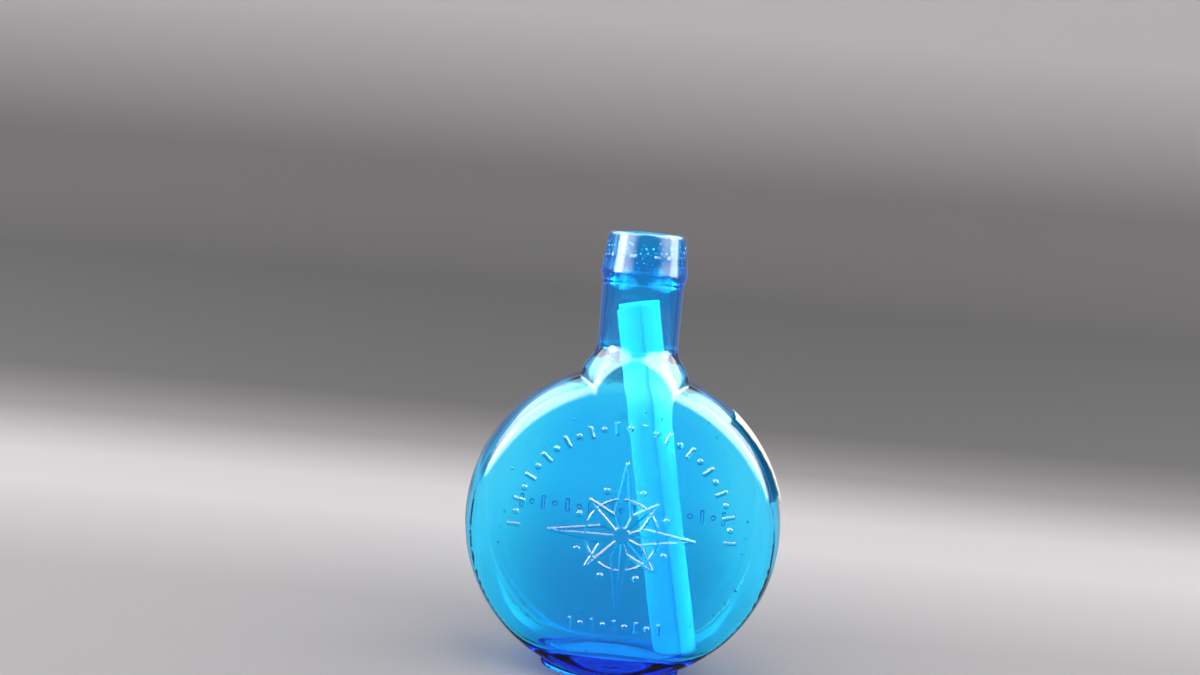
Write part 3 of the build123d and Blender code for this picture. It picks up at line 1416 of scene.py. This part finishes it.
@dataclass
class Studio:
    """A pale floor that sweeps up into a grey backdrop, both with light and shade painted along them, soft
    lamps and an even sky.
    """

    paper: SweepPaper = SweepPaper()
    target: Triple = (0, 0, 60)
    half_width: float = 2600.0
    front: float = -1500.0
    back: float = 560.0
    bend: float = 220.0
    top: float = 430.0
    gap: float = 0.05
    sky_colour: Triple = (1.0, 1.0, 1.0)
    sky: float = 0.3
    sky_in_glass: float = 1.0
    open_share: float = 0.16
    horizon: tuple[float, float] = (0.0, 0.07)
    patches: tuple[SkyPatch, ...] = (
        SkyPatch((-0.7, -0.36, 0.6), 14, 42, 11.0),
        SkyPatch((0.66, -0.32, 0.66), 14, 40, 12.5),
        SkyPatch((0.0, -0.42, 0.9), 8, 22, 7.0),
        SkyPatch((-0.74, 0.36, 0.57), 12, 34, 6.0),
        SkyPatch((0.74, 0.36, 0.57), 12, 34, 7.0),
        SkyPatch((-0.95, -0.25, 0.24), 7, 18, 12.0),
        SkyPatch((0.97, -0.05, 0.24), 7, 18, 11.0),
    )
    lamps: tuple[SoftBox, ...] = (SoftBox("softbox_top", (0, -150, 900), (200, 200), 5.0),)

    def sweep(self) -> bpy.types.Object:
        """Builds the floor, which curves up into the backdrop.

        Returns:
            The floor's object.
        """
        steps, start = 32, self.back - self.bend
        profile = [(self.front, 0.0), (start, 0.0)]
        for index in range(1, steps + 1):
            turn = math.pi / 2 * index / steps
            profile.append((start + self.bend * math.sin(turn), self.bend * (1 - math.cos(turn))))
        profile.append((self.back, self.top))
        # A hair of air under the foot keeps floor and glass from sharing one plane
        wide = self.half_width
        points = [(side, deep, high - self.gap) for deep, high in profile for side in (-wide, wide)]
        faces = [(2 * i, 2 * i + 1, 2 * i + 3, 2 * i + 2) for i in range(len(profile) - 1)]
        floor = make_piece("floor", np.array(points, float), np.array(faces), [self.paper.material()])
        return floor

    def build(self) -> None:
        """Makes floor, lamps and sky."""
        self.sweep()
        for lamp in self.lamps:
            lamp.build(Vector(self.target) * MM)
        self.paint_sky()
        bpy.context.scene.view_settings.view_transform = "Standard"

    def paint_sky(self) -> None:
        """Makes the sky: an even grey with feathered patches of light that all stop short of the horizon."""
        world = bpy.data.worlds.new("sky")
        world.use_nodes = True
        world.node_tree.nodes.clear()
        nodes = Nodes(world.node_tree)
        way = nodes.add("ShaderNodeTexCoord").outputs["Generated"]
        height = nodes.add("ShaderNodeSeparateXYZ", Vector=way).outputs["Z"]
        total: Socket | float = 0.0
        for patch in self.patches:
            total = nodes.sum("ADD", total, patch.light(nodes, way))
        total = nodes.sum("MULTIPLY", total, nodes.feather(height, *self.horizon, 1.0))
        path = nodes.add("ShaderNodeLightPath")
        total = nodes.sum("MULTIPLY", total, nodes.sum("SUBTRACT", 1.0, path.outputs["Is Camera Ray"]))
        in_glass = nodes.sum("MULTIPLY", path.outputs["Is Glossy Ray"], 1 - self.open_share)
        total = nodes.sum("MULTIPLY", total, nodes.sum("ADD", in_glass, self.open_share))
        through = path.outputs["Is Transmission Ray"]
        even = nodes.sum("ADD", nodes.sum("MULTIPLY", through, self.sky_in_glass), self.sky)
        background = nodes.add(
            "ShaderNodeBackground", Color=(*self.sky_colour, 1), Strength=nodes.sum("ADD", total, even)
        )
        nodes.add("ShaderNodeOutputWorld", Surface=background.outputs["Background"])
        bpy.context.scene.world = world


def main() -> None:
    """Builds every piece in order."""
    logging.basicConfig(level=logging.INFO, format="%(name)s %(message)s")
    sizes = FlaskSizes()
    PhotoCamera().build()
    Studio().build()
    GlassFlask(sizes, Relief(), BlueGlass()).build()
    white = PaperStock("roll_paper", (0.95, 0.95, 0.94), (0.91, 0.91, 0.9), cockle_depth=0.1)
    PaperRoll(white).build()
    cream = PaperStock("label_paper", (0.86, 0.83, 0.74), (0.74, 0.69, 0.57))
    # The underside is a darker copy of the label paper: painted shade where it faces the glass
    shaded_underside = PaperStock("label_underside_shade", (0.66, 0.63, 0.58), (0.55, 0.52, 0.47))
    RimLabel(sizes, cream, shaded_underside).build()


if __name__ == "__main__":
    main()
